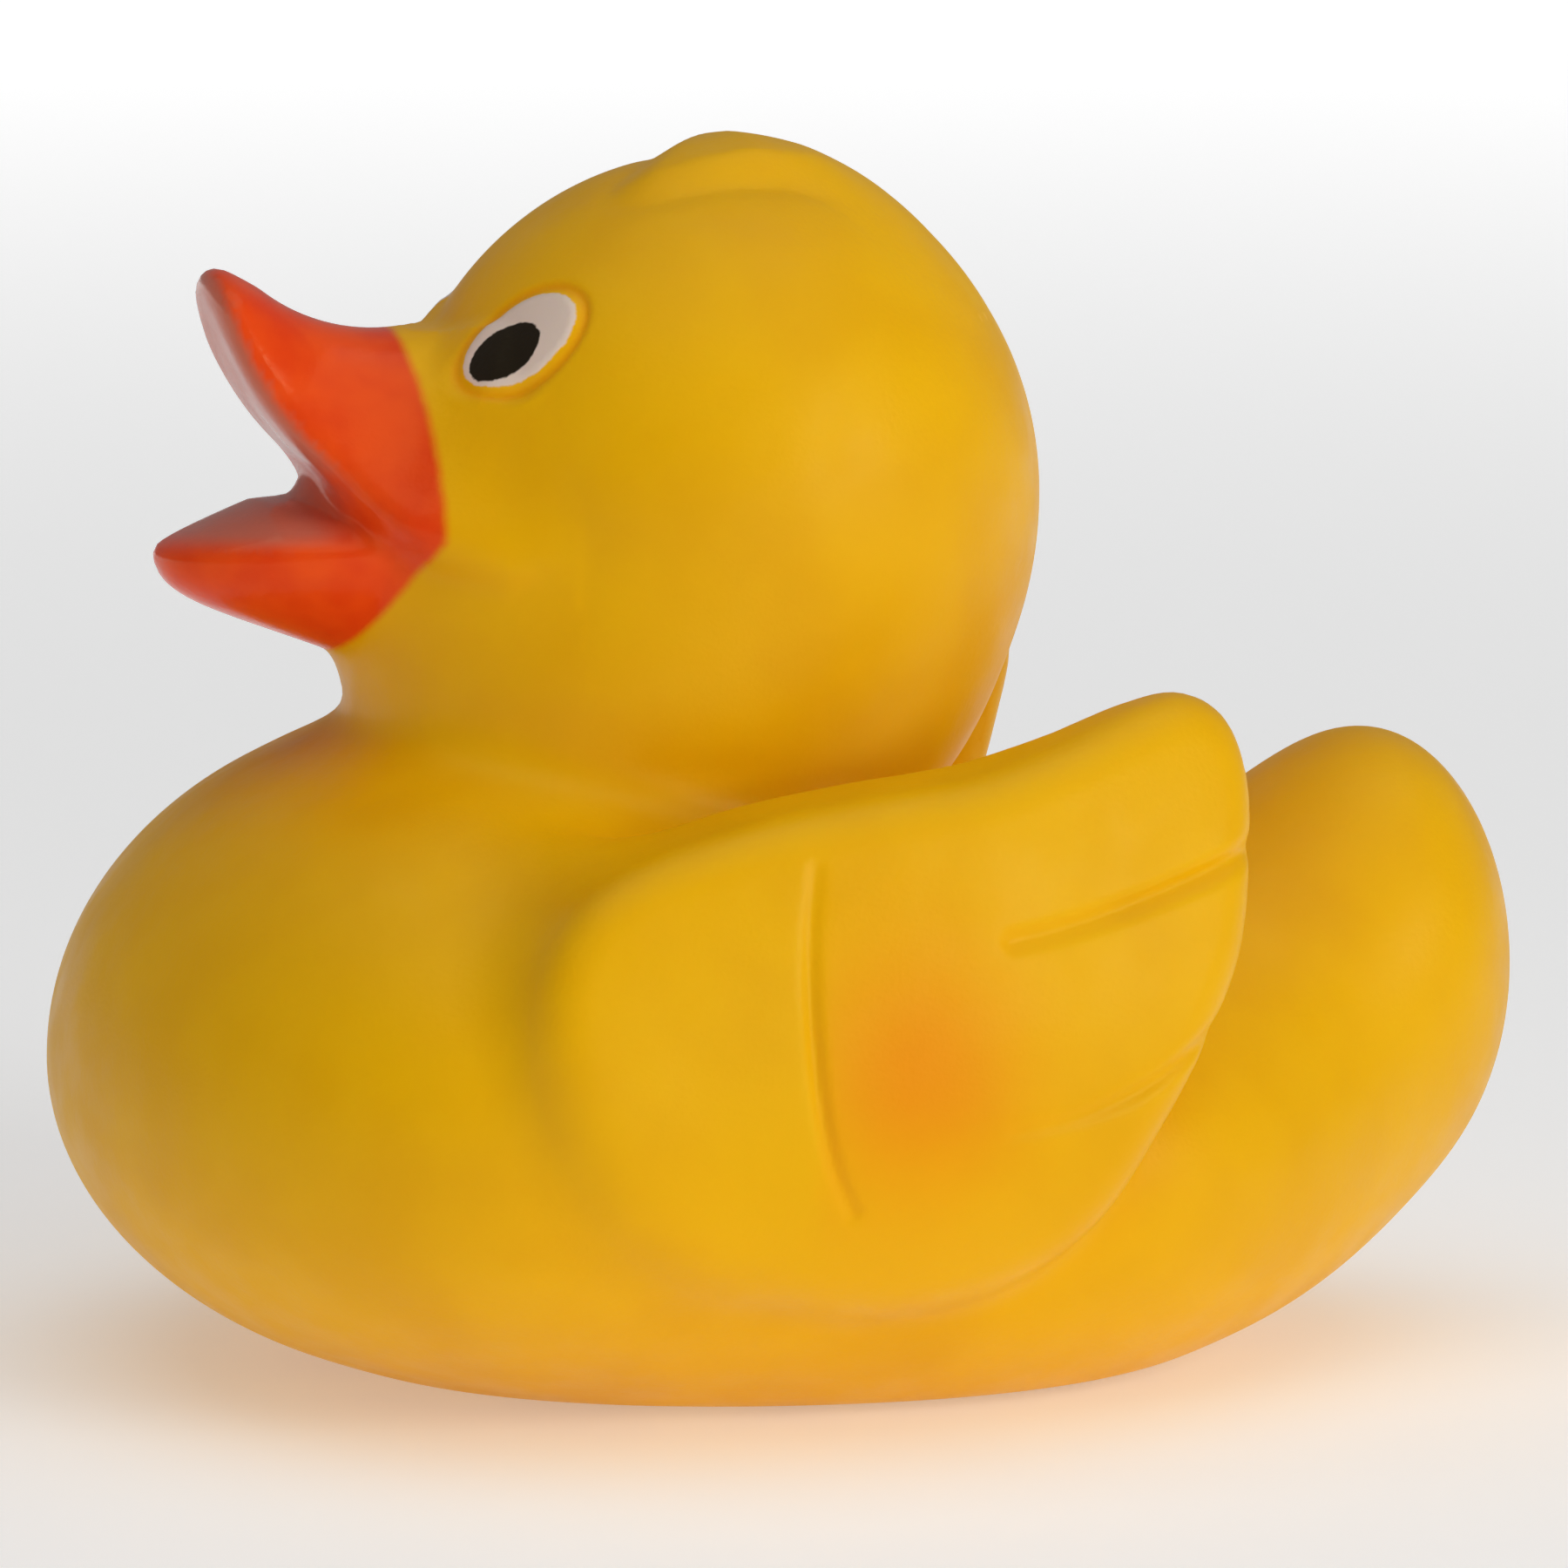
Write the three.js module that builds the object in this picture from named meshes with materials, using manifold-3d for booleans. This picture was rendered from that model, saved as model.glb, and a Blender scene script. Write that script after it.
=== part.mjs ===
// Squeaking rubber duck: a hollow one-piece vinyl body with a reed squeaker plugged into its flat base.
// Millimetres, +Z up. The duck faces -Y, its left side is +X, and its base rests on Z = 0.

import * as THREE from 'three';
import { mergeVertices } from 'three/addons/utils/BufferGeometryUtils.js';
import Module from 'manifold-3d';

// ---------------------------------------------------------------- driving dimensions

const WALL = 2.2;               // thickness of the moulded vinyl skin
const GAP = 0.3;                // clearance between pieces that touch

// Each mass is an ellipsoid: its centre, its semi-axes, and the depth of its lower half.
const BREAST = { centre: [0, -17.5, 17.6], radii: [31.5, 24.7, 20.2], keel: 17.6 };
const RUMP = { centre: [0, 11.7, 12.8], radii: [26.0, 21.9, 13.8], keel: 14.6 };
const TAIL = { centre: [0, 34.7, 24.2], radii: [10.0, 6.2, 10.0], keel: 10.0 };
const SKULL = { centre: [0, -4.2, 49.7], radii: [18.4, 18.3, 19.15], keel: 21.0 };
const NECK = { centre: [0, -8.4, 39.0], radii: [16.8, 16.6, 12.0], keel: 12.0 };
const MUZZLE = { centre: [0, -14.8, 47.0], radii: [11.5, 9.5, 8.5], keel: 8.5 };
const TUFT = { centre: [0, -2.6, 62.0], radii: [4.8, 8.2, 8.1], keel: 8.1 };

// How softly neighbouring masses run together.
const BLEND = { rump: 20.4, tail: 19.6, base: 1.2, neck: 5.0, muzzle: 4.0, tuft: 1.0 };

// The line inside each hollow form that its sections are spread around, from end to end.
const TORSO_AXIS = { from: [0, -30, 17.8], to: [0, 36, 22.6] };
const HEAD_AXIS = { from: [0, -8.4, 34.0], to: [0, -2.6, 66.0] };

// Wing outline seen from the side, as [forward, up], from the shoulder over the tip and back under.
const WING_OUTLINE = [
  [21, 26.4], [19.6, 30.4], [16.3, 33], [9.6, 35.2], [2.8, 36.4], [-3, 37.1], [-8.2, 38.5],
  [-13.2, 40.2], [-16.4, 40.7], [-18.7, 39.4], [-19.6, 36.4], [-19.3, 32.4], [-18.4, 27.6],
  [-16.4, 23.2], [-13.3, 18], [-9.8, 12.4], [-5, 9], [1.2, 7.8], [6.9, 8.8], [12.1, 11.2],
  [17, 15.9], [20.1, 21.2],
];
const WING = {
  reach: 34.35,                 // half-width of the duck over the crown of the wing
  crown: [2, 20],               // where the wing stands out furthest, as [forward, up]
  bowAhead: 15.5,               // the larger each bow, the flatter the wing lies on that side
  bowBehind: 11.5,
  bowAbove: 8.6,
  bowBelow: 5.2,
  thickness: 9.0,
  tipThinning: 4.5,
  thinningFrom: -2,             // forward position where the wing starts to thin
  thinningLength: 16,
  squareness: 2.6,              // 2 is a plain lens, more gives a fuller edge
};

// Feather grooves pressed into the wing, as [forward, up].
const GROOVES = [
  [[6.3, 33.3], [7.0, 27.2], [6.5, 20], [4.6, 14.6]],
  [[-4.4, 29], [-12.5, 30.7], [-22, 33.6]],
  [[-4.3, 18.7], [-12, 20.7], [-20, 25.5]],
];
const GROOVE_RADIUS = 0.7;
const GROOVE_SINK = 0.1;        // how far the groove's centre lies under the wing's skin

// Upper bill: a spoon between a hollow palate and a hollow ridge, both arcs as [forward, up].
const UPPER_BILL = {
  palateCentre: [15.3, 66.0],
  palateRadius: 18.8,
  ridgeCentre: [23.5, 70.4],
  ridgeRadius: 10.9,
  rootAngle: 6,                 // degrees forward of straight down, inside the muzzle
  cornerAngle: 25,
  tipAngle: 81.6,
  halfWidth: 5.3,
  cornerHalfWidth: 10.0,
  tipLength: 2.4,               // length of the rounded end
  tipNarrowing: 0.5,            // share of the width's square that is lost towards the tip
  narrowingLength: 7.0,
  leastThickness: 2.2,
  lip: 0.5,                     // how far the palate bulges out between the rims
};

// Lower bill: a scoop with a crowned top.
const LOWER_BILL = {
  root: 16.0,
  widest: 23.0,
  tip: 36.5,
  rimHeight: 47.7,
  halfWidth: 8.4,
  crown: 2.0,
  crownTaper: 0.45,
  rimRise: 0.5,
  tipDepth: 2.0,
  extraDepth: 5.7,
  tipDrop: 0.7,
};

// Web of skin that closes the back of the open bill.
const MOUTH = { centre: [0, -21.5, 50.5], radii: [7.5, 6.5, 3.6] };

// Raised oval eye on each side of the head.
const EYE = {
  direction: [0.464, -0.708, 0.532],
  halfLength: 3.7,
  halfHeight: 2.55,
  slant: 42,                    // degrees from level to the oval's long axis
  relief: 0.5,                  // how far the button stands out of the head
  sunk: 0.3,                    // depth of the button's middle under the head's skin
};

// Squeaker seat moulded in the base, and the squeaker plugged into it.
const SEAT = { radius: 11.0, from: 0.6, height: 4.5, bore: 6.3, counterbore: 8.3, counterboreDepth: 1.5 };
const SQUEAKER = {
  y: 0,
  recess: 0.3,                  // underside of the squeaker above the base plane
  flange: 8.0,
  barrel: 6.0,
  snap: 6.9,
  snapHeight: 1.2,
  height: 11.0,
  bore: 4.4,
  airHole: 1.8,
  floor: 1.6,
  ledge: 6.2,                   // height of the step the reed plate rests on
  ledgeBore: 3.4,
  plateThickness: 1.2,
  slotWidth: 1.4,
  slotLength: 5.0,
  reedWidth: 2.4,
  reedLength: 6.4,
  reedThickness: 0.5,
};

// Number of facets around and along each form.
const FACETS = {
  torso: [44, 28],
  head: [36, 24],
  hollow: [20, 14],
  wing: [32, 12],
  bill: [20, 14],
  eye: [14, 6],
  groove: 6,
  turned: 32,
};

const VINYL = { color: 0xdc9f02, roughness: 0.42, metalness: 0 };
const SQUEAKER_PLASTIC = { color: 0xe8e6df, roughness: 0.45, metalness: 0 };
const REED_FILM = { color: 0xc9d3d8, roughness: 0.3, metalness: 0 };

// ---------------------------------------------------------------- soft masses

/** Nearly the distance from a point to the surface of an ellipsoid, negative inside. */
function massDistance(mass, x, y, z) {
  const depth = z < mass.centre[2] ? mass.keel : mass.radii[2];
  const scaled = new THREE.Vector3(
    (x - mass.centre[0]) / mass.radii[0],
    (y - mass.centre[1]) / mass.radii[1],
    (z - mass.centre[2]) / depth,
  );
  const reach = scaled.length() + 1e-9;
  const slope = Math.hypot(scaled.x / mass.radii[0], scaled.y / mass.radii[1], scaled.z / depth) + 1e-9;
  return (reach * (reach - 1)) / slope;
}

/** The nearer of two surfaces, with the corner between them filled to the given width. */
function blend(a, b, width) {
  const overlap = Math.max(width - Math.abs(a - b), 0) / width;
  return Math.min(a, b) - (overlap * overlap * width) / 4;
}

function torsoDistance(x, y, z) {
  const bulk = blend(massDistance(BREAST, x, y, z), massDistance(RUMP, x, y, z), BLEND.rump);
  const withTail = blend(bulk, massDistance(TAIL, x, y, z), BLEND.tail);
  return -blend(-withTail, z, BLEND.base);
}

function headDistance(x, y, z) {
  const neck = blend(massDistance(SKULL, x, y, z), massDistance(NECK, x, y, z), BLEND.neck);
  const face = blend(neck, massDistance(MUZZLE, x, y, z), BLEND.muzzle);
  return blend(face, massDistance(TUFT, x, y, z), BLEND.tuft);
}

/** The point where a ray from inside a form first meets the skin at the given depth. */
function meetSkin(distance, origin, direction, depth) {
  const step = 1.0;
  const halvings = 24;
  let inner = 0;
  const at = (t) => distance(
    origin.x + direction.x * t,
    origin.y + direction.y * t,
    origin.z + direction.z * t,
  ) + depth;
  while (at(inner + step) < 0) inner += step;
  let outer = inner + step;
  for (let i = 0; i < halvings; i += 1) {
    const middle = (inner + outer) / 2;
    if (at(middle) < 0) inner = middle;
    else outer = middle;
  }
  return origin.clone().addScaledVector(direction, inner);
}

/** Moves every vertex of a unit sphere to the place that a rule gives it. */
function shapeSphere(facets, turnPoles, rule) {
  const sphere = new THREE.SphereGeometry(1, facets[0], facets[1]);
  turnPoles(sphere);
  const position = sphere.getAttribute('position');
  const vertex = new THREE.Vector3();
  for (let i = 0; i < position.count; i += 1) {
    vertex.fromBufferAttribute(position, i);
    const moved = rule(vertex);
    position.setXYZ(i, moved.x, moved.y, moved.z);
  }
  return sphere;
}

const polesAlongY = () => {};
const polesAlongZ = (geometry) => geometry.rotateX(Math.PI / 2);
const polesAlongX = (geometry) => geometry.rotateZ(-Math.PI / 2);

/** Closed skin of a form, with its sections spread along an axis and its vertices on the surface. */
function skin(distance, axis, pole, depth, facets) {
  const from = new THREE.Vector3(...axis.from);
  const to = new THREE.Vector3(...axis.to);
  const along = to.clone().sub(from).normalize();
  const end = meetSkin(distance, to, along, depth);
  const start = meetSkin(distance, from, along.clone().negate(), depth);
  const turn = pole === 'y' ? polesAlongY : polesAlongZ;
  return shapeSphere(facets, turn, (v) => {
    const station = start.clone().lerp(end, (v[pole] + 1) / 2);
    const outward = v.clone();
    outward[pole] = 0;
    if (outward.length() < 1e-6) return station;
    return meetSkin(distance, station, outward.normalize(), depth);
  });
}

// ---------------------------------------------------------------- joining and cutting

const wasm = await Module();
wasm.setup();

function toSolid(geometry) {
  const bare = geometry.clone();
  bare.deleteAttribute('normal');
  bare.deleteAttribute('uv');
  const merged = mergeVertices(bare, 1e-4);
  return new wasm.Manifold(new wasm.Mesh({
    numProp: 3,
    vertProperties: new Float32Array(merged.getAttribute('position').array),
    triVerts: new Uint32Array(merged.getIndex().array),
  }));
}

function toGeometry(solid) {
  const mesh = solid.getMesh();
  const geometry = new THREE.BufferGeometry();
  geometry.setAttribute('position', new THREE.BufferAttribute(new Float32Array(mesh.vertProperties), 3));
  geometry.setIndex(new THREE.BufferAttribute(new Uint32Array(mesh.triVerts), 1));
  geometry.computeVertexNormals();
  return geometry;
}

/** Solid of revolution about the vertical through the squeaker, from [radius, height] points. */
function turned(profile) {
  const points = profile.map(([radius, height]) => new THREE.Vector2(radius, height));
  const lathe = new THREE.LatheGeometry(points, FACETS.turned);
  lathe.rotateX(Math.PI / 2);
  lathe.translate(0, SQUEAKER.y, 0);
  return toSolid(lathe);
}

// ---------------------------------------------------------------- wings

/** Side distance of the wing's outer face from the duck's middle plane. */
function wingReach(forward, up) {
  const advance = forward - WING.crown[0];
  const rise = up - WING.crown[1];
  const lengthwise = advance / (advance > 0 ? WING.bowAhead : WING.bowBehind);
  const upright = rise / (rise > 0 ? WING.bowAbove : WING.bowBelow);
  return WING.reach - upright * upright - lengthwise * lengthwise;
}

function wingThickness(forward) {
  const thinning = THREE.MathUtils.clamp((WING.thinningFrom - forward) / WING.thinningLength, 0, 1);
  return WING.thickness - WING.tipThinning * thinning;
}

/** One wing on the left side: a full lens over its outline, bowed to the duck's side. */
function wingSolid() {
  const outline = new THREE.CatmullRomCurve3(
    WING_OUTLINE.map(([forward, up]) => new THREE.Vector3(0, -forward, up)),
    true,
    'centripetal',
  );
  const middle = new THREE.Vector3(0, -WING.crown[0], WING.crown[1] + 3);
  const power = 2 / WING.squareness;
  const lens = shapeSphere(FACETS.wing, polesAlongX, (v) => {
    const spread = Math.hypot(v.y, v.z) ** power;
    const bulge = Math.sign(v.x) * Math.abs(v.x) ** power;
    const turnAngle = Math.atan2(v.z, -v.y);
    const edge = outline.getPoint(THREE.MathUtils.euclideanModulo(turnAngle / (2 * Math.PI), 1));
    const place = middle.clone().lerp(edge, spread);
    const thickness = wingThickness(-place.y);
    place.x = wingReach(-place.y, place.z) - thickness / 2 + (bulge * thickness) / 2;
    return place;
  });
  return GROOVES.reduce((wing, line) => wing.subtract(grooveSolid(line)), toSolid(lens));
}

/** A round bar that lies just under the wing's skin along a feather line. */
function grooveSolid(line) {
  const path = new THREE.CatmullRomCurve3(line.map(([forward, up]) => (
    new THREE.Vector3(wingReach(forward, up) - GROOVE_SINK, -forward, up)
  )));
  const section = new THREE.Shape();
  section.absarc(0, 0, GROOVE_RADIUS, 0, 2 * Math.PI);
  const bar = new THREE.ExtrudeGeometry(section, {
    steps: FACETS.groove,
    curveSegments: FACETS.groove / 2,
    extrudePath: path,
  });
  return toSolid(bar);
}

// ---------------------------------------------------------------- bill and eyes

/** Distance from the palate's centre to the ridge of the upper bill, in a given direction. */
function ridgeDistance(forward, up) {
  const [ridgeForward, ridgeUp] = UPPER_BILL.ridgeCentre;
  const offsetForward = UPPER_BILL.palateCentre[0] - ridgeForward;
  const offsetUp = UPPER_BILL.palateCentre[1] - ridgeUp;
  const lean = offsetForward * forward + offsetUp * up;
  const spare = offsetForward ** 2 + offsetUp ** 2 - UPPER_BILL.ridgeRadius ** 2;
  return -lean + Math.sqrt(Math.max(lean * lean - spare, 0));
}

function upperBillSolid() {
  const degree = Math.PI / 180;
  const root = UPPER_BILL.rootAngle * degree;
  const tip = UPPER_BILL.tipAngle * degree;
  const roundingFrom = tip - UPPER_BILL.tipLength / UPPER_BILL.palateRadius;
  const corner = UPPER_BILL.cornerAngle * degree;
  const spoon = shapeSphere(FACETS.bill, polesAlongY, (v) => {
    const angle = root + ((tip - root) * (1 - v.y)) / 2;
    const forward = Math.sin(angle);
    const up = -Math.cos(angle);
    const rounding = THREE.MathUtils.clamp((angle - roundingFrom) / (tip - roundingFrom), 0, 1);
    const closing = Math.sqrt(1 - rounding ** 2) * Math.sqrt(1 - Math.max(v.y, 0) ** 8);
    const flare = THREE.MathUtils.clamp((roundingFrom - angle) / (roundingFrom - corner), 0, 1) ** 2;
    const nearTip = 1 - ((tip - angle) * UPPER_BILL.palateRadius) / UPPER_BILL.narrowingLength;
    const narrowing = Math.sqrt(1 - UPPER_BILL.tipNarrowing * Math.max(nearTip, 0) ** 2);
    const fullWidth = UPPER_BILL.halfWidth + (UPPER_BILL.cornerHalfWidth - UPPER_BILL.halfWidth) * flare;
    const width = fullWidth * narrowing;
    const thickness = UPPER_BILL.palateRadius - ridgeDistance(forward, up);
    const height = Math.max(thickness, UPPER_BILL.leastThickness);
    const around = Math.atan2(v.z, v.x);
    const lift = Math.sin(around) * (v.z > 0 ? height : UPPER_BILL.lip) * closing;
    const radius = UPPER_BILL.palateRadius - lift;
    return new THREE.Vector3(
      Math.cos(around) * width * closing,
      -(UPPER_BILL.palateCentre[0] + forward * radius),
      UPPER_BILL.palateCentre[1] + up * radius,
    );
  });
  return toSolid(spoon);
}

function lowerBillSolid() {
  const { root, widest, tip, rimHeight, halfWidth } = LOWER_BILL;
  const scoop = shapeSphere(FACETS.bill, polesAlongY, (v) => {
    const forward = root + ((tip - root) * (1 - v.y)) / 2;
    const travel = THREE.MathUtils.clamp((forward - widest) / (tip - widest), 0, 1);
    const rootClosing = Math.sqrt(1 - Math.max(v.y, 0) ** 8);
    const width = halfWidth * Math.sqrt(1 - travel ** 2) * rootClosing;
    const crown = LOWER_BILL.crown * Math.min((1 - travel) / LOWER_BILL.crownTaper, 1);
    const rise = LOWER_BILL.rimRise * Math.sqrt(1 - travel ** 8) + crown;
    const depth = LOWER_BILL.tipDepth * Math.sqrt(1 - travel ** 8) + LOWER_BILL.extraDepth * (1 - travel);
    const around = Math.atan2(v.z, v.x);
    const lift = Math.sin(around) * (v.z > 0 ? rise : depth) * rootClosing;
    const rim = rimHeight - LOWER_BILL.tipDrop * travel ** 2;
    return new THREE.Vector3(Math.cos(around) * width, -forward, rim + lift);
  });
  return toSolid(scoop);
}

function mouthSolid() {
  const web = new THREE.SphereGeometry(1, FACETS.bill[0], FACETS.bill[1]);
  web.scale(...MOUTH.radii);
  web.translate(...MOUTH.centre);
  return toSolid(web);
}

/** The left eye: an oval button that stands slightly out of the head. */
function eyeSolid() {
  const outward = new THREE.Vector3(...EYE.direction).normalize();
  const skull = new THREE.Vector3(...SKULL.centre);
  const place = meetSkin(headDistance, skull, outward, 0);
  const level = new THREE.Vector3(0, 0, 1).cross(outward).normalize();
  const rise = outward.clone().cross(level);
  const slant = (EYE.slant * Math.PI) / 180;
  const lengthwise = level.clone().multiplyScalar(Math.cos(slant)).addScaledVector(rise, Math.sin(slant));
  const across = outward.clone().cross(lengthwise);
  const button = new THREE.SphereGeometry(1, FACETS.eye[0], FACETS.eye[1]);
  polesAlongZ(button);
  button.scale(EYE.halfLength, EYE.halfHeight, EYE.relief + EYE.sunk);
  button.applyMatrix4(new THREE.Matrix4().makeBasis(lengthwise, across, outward));
  button.translate(...place.addScaledVector(outward, -EYE.sunk).toArray());
  return toSolid(button);
}

// ---------------------------------------------------------------- pieces

function duckBody() {
  const torso = toSolid(skin(torsoDistance, TORSO_AXIS, 'y', 0, FACETS.torso));
  const head = toSolid(skin(headDistance, HEAD_AXIS, 'z', 0, FACETS.head));
  const torsoHollow = toSolid(skin(torsoDistance, TORSO_AXIS, 'y', WALL, FACETS.hollow));
  const headHollow = toSolid(skin(headDistance, HEAD_AXIS, 'z', WALL, FACETS.hollow));
  const wing = wingSolid();
  const eye = eyeSolid();
  const outside = [
    head, wing, wing.mirror([1, 0, 0]), eye, eye.mirror([1, 0, 0]),
    upperBillSolid(), lowerBillSolid(), mouthSolid(),
  ].reduce((joined, piece) => joined.add(piece), torso);
  const seat = turned([
    [0, SEAT.from], [SEAT.radius, SEAT.from], [SEAT.radius, SEAT.height], [0, SEAT.height],
  ]);
  const shoulder = SEAT.counterboreDepth;
  const hole = turned([
    [0, -GAP], [SEAT.counterbore, -GAP], [SEAT.counterbore, shoulder],
    [SEAT.bore, shoulder], [SEAT.bore, SEAT.height + 1], [0, SEAT.height + 1],
  ]);
  return outside.subtract(torsoHollow.add(headHollow)).add(seat).subtract(hole);
}

function squeakerHousing() {
  const s = SQUEAKER;
  const shoulder = SEAT.counterboreDepth - GAP;
  const snapFrom = SEAT.height + GAP;
  return turned([
    [s.airHole, s.recess], [s.flange, s.recess], [s.flange, shoulder], [s.barrel, shoulder],
    [s.barrel, snapFrom], [s.snap, snapFrom], [s.barrel, snapFrom + s.snapHeight], [s.barrel, s.height],
    [s.bore, s.height], [s.bore, s.ledge], [s.ledgeBore, s.ledge], [s.ledgeBore, s.recess + s.floor],
    [s.airHole, s.recess + s.floor], [s.airHole, s.recess],
  ]);
}

function reedPlate() {
  const bottom = SQUEAKER.ledge + GAP;
  const top = bottom + SQUEAKER.plateThickness;
  const disc = turned([
    [0, bottom], [SQUEAKER.bore - GAP, bottom], [SQUEAKER.bore - GAP, top], [0, top],
  ]);
  const slot = new THREE.BoxGeometry(SQUEAKER.slotWidth, SQUEAKER.slotLength, 3 * SQUEAKER.plateThickness);
  slot.translate(0, SQUEAKER.y, (bottom + top) / 2);
  return disc.subtract(toSolid(slot));
}

function reed() {
  const bottom = SQUEAKER.ledge + SQUEAKER.plateThickness + 2 * GAP;
  const strip = new THREE.BoxGeometry(SQUEAKER.reedWidth, SQUEAKER.reedLength, SQUEAKER.reedThickness);
  strip.translate(0, SQUEAKER.y, bottom + SQUEAKER.reedThickness / 2);
  return toSolid(strip);
}

function piece(name, solid, finish) {
  const mesh = new THREE.Mesh(toGeometry(solid), new THREE.MeshStandardMaterial(finish));
  mesh.name = name;
  return mesh;
}

const duck = new THREE.Group();
duck.name = 'rubber_duck';
duck.add(
  piece('duck_body', duckBody(), VINYL),
  piece('squeaker_housing', squeakerHousing(), SQUEAKER_PLASTIC),
  piece('squeaker_reed_plate', reedPlate(), SQUEAKER_PLASTIC),
  piece('squeaker_reed', reed(), REED_FILM),
);

export default duck;
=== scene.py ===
"""A hollow vinyl bath duck with a reed squeaker in its base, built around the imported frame.

The duck faces -Y, its left side is +X and it stands on Z = 0. Shapes are worked out in
millimetres and handed to Blender in metres.
"""
import logging
import math
from collections.abc import Callable, Sequence
from dataclasses import dataclass, field
from enum import Enum

import bmesh
import bpy
import numpy as np
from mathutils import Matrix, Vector


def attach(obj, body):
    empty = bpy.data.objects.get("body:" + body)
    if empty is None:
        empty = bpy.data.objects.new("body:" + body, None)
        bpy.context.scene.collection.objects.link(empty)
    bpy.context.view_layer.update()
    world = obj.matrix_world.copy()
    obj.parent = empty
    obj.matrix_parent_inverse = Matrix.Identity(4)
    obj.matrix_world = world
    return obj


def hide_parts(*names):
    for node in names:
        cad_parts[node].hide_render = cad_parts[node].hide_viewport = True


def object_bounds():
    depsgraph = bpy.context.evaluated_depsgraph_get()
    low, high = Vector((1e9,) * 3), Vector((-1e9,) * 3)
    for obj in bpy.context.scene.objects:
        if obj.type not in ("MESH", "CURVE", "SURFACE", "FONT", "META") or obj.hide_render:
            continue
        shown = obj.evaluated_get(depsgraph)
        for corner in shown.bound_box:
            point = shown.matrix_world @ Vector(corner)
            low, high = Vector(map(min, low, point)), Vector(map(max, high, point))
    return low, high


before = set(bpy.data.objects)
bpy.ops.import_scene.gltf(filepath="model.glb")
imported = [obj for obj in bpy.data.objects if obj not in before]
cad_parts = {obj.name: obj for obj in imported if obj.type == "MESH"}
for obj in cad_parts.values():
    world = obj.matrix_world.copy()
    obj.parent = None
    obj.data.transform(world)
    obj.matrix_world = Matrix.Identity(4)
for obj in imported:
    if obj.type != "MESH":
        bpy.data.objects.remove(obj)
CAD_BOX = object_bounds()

LOG = logging.getLogger("duck")
MM = 0.001
ROOT_BODY = "root"

Points = np.ndarray
Values = np.ndarray
Distance = Callable[[Points], Values]
Pair = tuple[float, float]
Triple = tuple[float, float, float]


class Node(Enum):
    """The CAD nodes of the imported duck."""

    BODY = "duck_body"
    HOUSING = "squeaker_housing"
    PLATE = "squeaker_reed_plate"
    REED = "squeaker_reed"


class Paint(Enum):
    """The painted areas of the skin, with the painted shade in the eye rings and the painted sheen
    inside the bill, each kept as a number at every vertex.
    """

    BILL = "bill_edge"
    EYE = "eye_edge"
    PUPIL = "pupil_edge"
    # Painted sheen: a paler pink inside the open bill in place of reflection at grazing angles.
    GAPE_SHEEN = "inside_bill_sheen"
    BLUSH = "blush"
    # Painted shade in the moulded ring round each eye.
    RING_SHADE = "crease"


# Soft shapes.


def soft_join(a: Values, b: Values, width: float) -> Values:
    """Joins two forms and fills the corner between them.

    Args:
        a: Distances to the first form, negative inside.
        b: Distances to the second form.
        width: How far from the corner the filling starts, in millimetres.

    Returns:
        Distances to the joined form.
    """
    overlap = np.maximum(width - np.abs(a - b), 0.0) / width
    return np.minimum(a, b) - overlap * overlap * width * 0.25


def soft_common(a: Values, b: Values, width: float) -> Values:
    """Keeps what two forms share and rounds the edge between them.

    Args:
        a: Distances to the first form, negative inside.
        b: Distances to the second form.
        width: How far from the edge the rounding starts, in millimetres.

    Returns:
        Distances to the common form.
    """
    return -soft_join(-a, -b, width)


def ease(low: float, high: float, value: Values) -> Values:
    """Rises smoothly from 0 at low to 1 at high.

    Args:
        low: Value where the rise starts.
        high: Value where it ends, which may be below low.
        value: Numbers to ease.

    Returns:
        The eased numbers, from 0 to 1.
    """
    t = np.clip((value - low) / (high - low), 0.0, 1.0)
    return t * t * (3.0 - 2.0 * t)


def arc_line(points: Sequence[Pair], per_span: int, closed: bool) -> np.ndarray:
    """Rounds a line of points into a smooth curve that passes through them all.

    Args:
        points: Corner points in order.
        per_span: Number of pieces between two neighbouring corner points.
        closed: Whether the curve returns to its first point.

    Returns:
        The points of the curve, one row each.
    """
    corner = np.array(points, float)
    count = len(corner)
    spans = count if closed else count - 1
    step = np.arange(per_span)[:, None] / per_span
    rows = []
    for i in range(spans):
        around = np.arange(i - 1, i + 3)
        p0, p1, p2, p3 = corner[around % count if closed else np.clip(around, 0, count - 1)]
        bend = (2.0 * p0 - 5.0 * p1 + 4.0 * p2 - p3) * step**2
        twist = (3.0 * p1 - p0 - 3.0 * p2 + p3) * step**3
        rows.append(0.5 * (2.0 * p1 + (p2 - p0) * step + bend + twist))
    if not closed:
        rows.append(corner[-1:])
    return np.concatenate(rows)


@dataclass(frozen=True)
class Mass:
    """An ellipsoid whose lower half may have a depth of its own.

    Attributes:
        centre: Middle of the mass.
        radii: Semi-axes to the side, along the duck and upwards.
        keel: Semi-axis downwards, or None for the same as upwards.
    """

    centre: Triple
    radii: Triple
    keel: float | None = None

    def distance(self, p: Points) -> Values:
        """Near enough the distance to the surface.

        Args:
            p: Points, one row each.

        Returns:
            Distances, negative inside.
        """
        offset = p - np.array(self.centre)
        across, along, height = self.radii
        keel = height if self.keel is None else self.keel
        depth = np.where(offset[:, 2] < 0.0, keel, height)
        x, y, z = offset[:, 0] / across, offset[:, 1] / along, offset[:, 2] / depth
        reach = np.sqrt(x * x + y * y + z * z) + 1e-9
        slope = np.sqrt((x / across) ** 2 + (y / along) ** 2 + (z / depth) ** 2) + 1e-9
        return reach * (reach - 1.0) / slope


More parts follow.
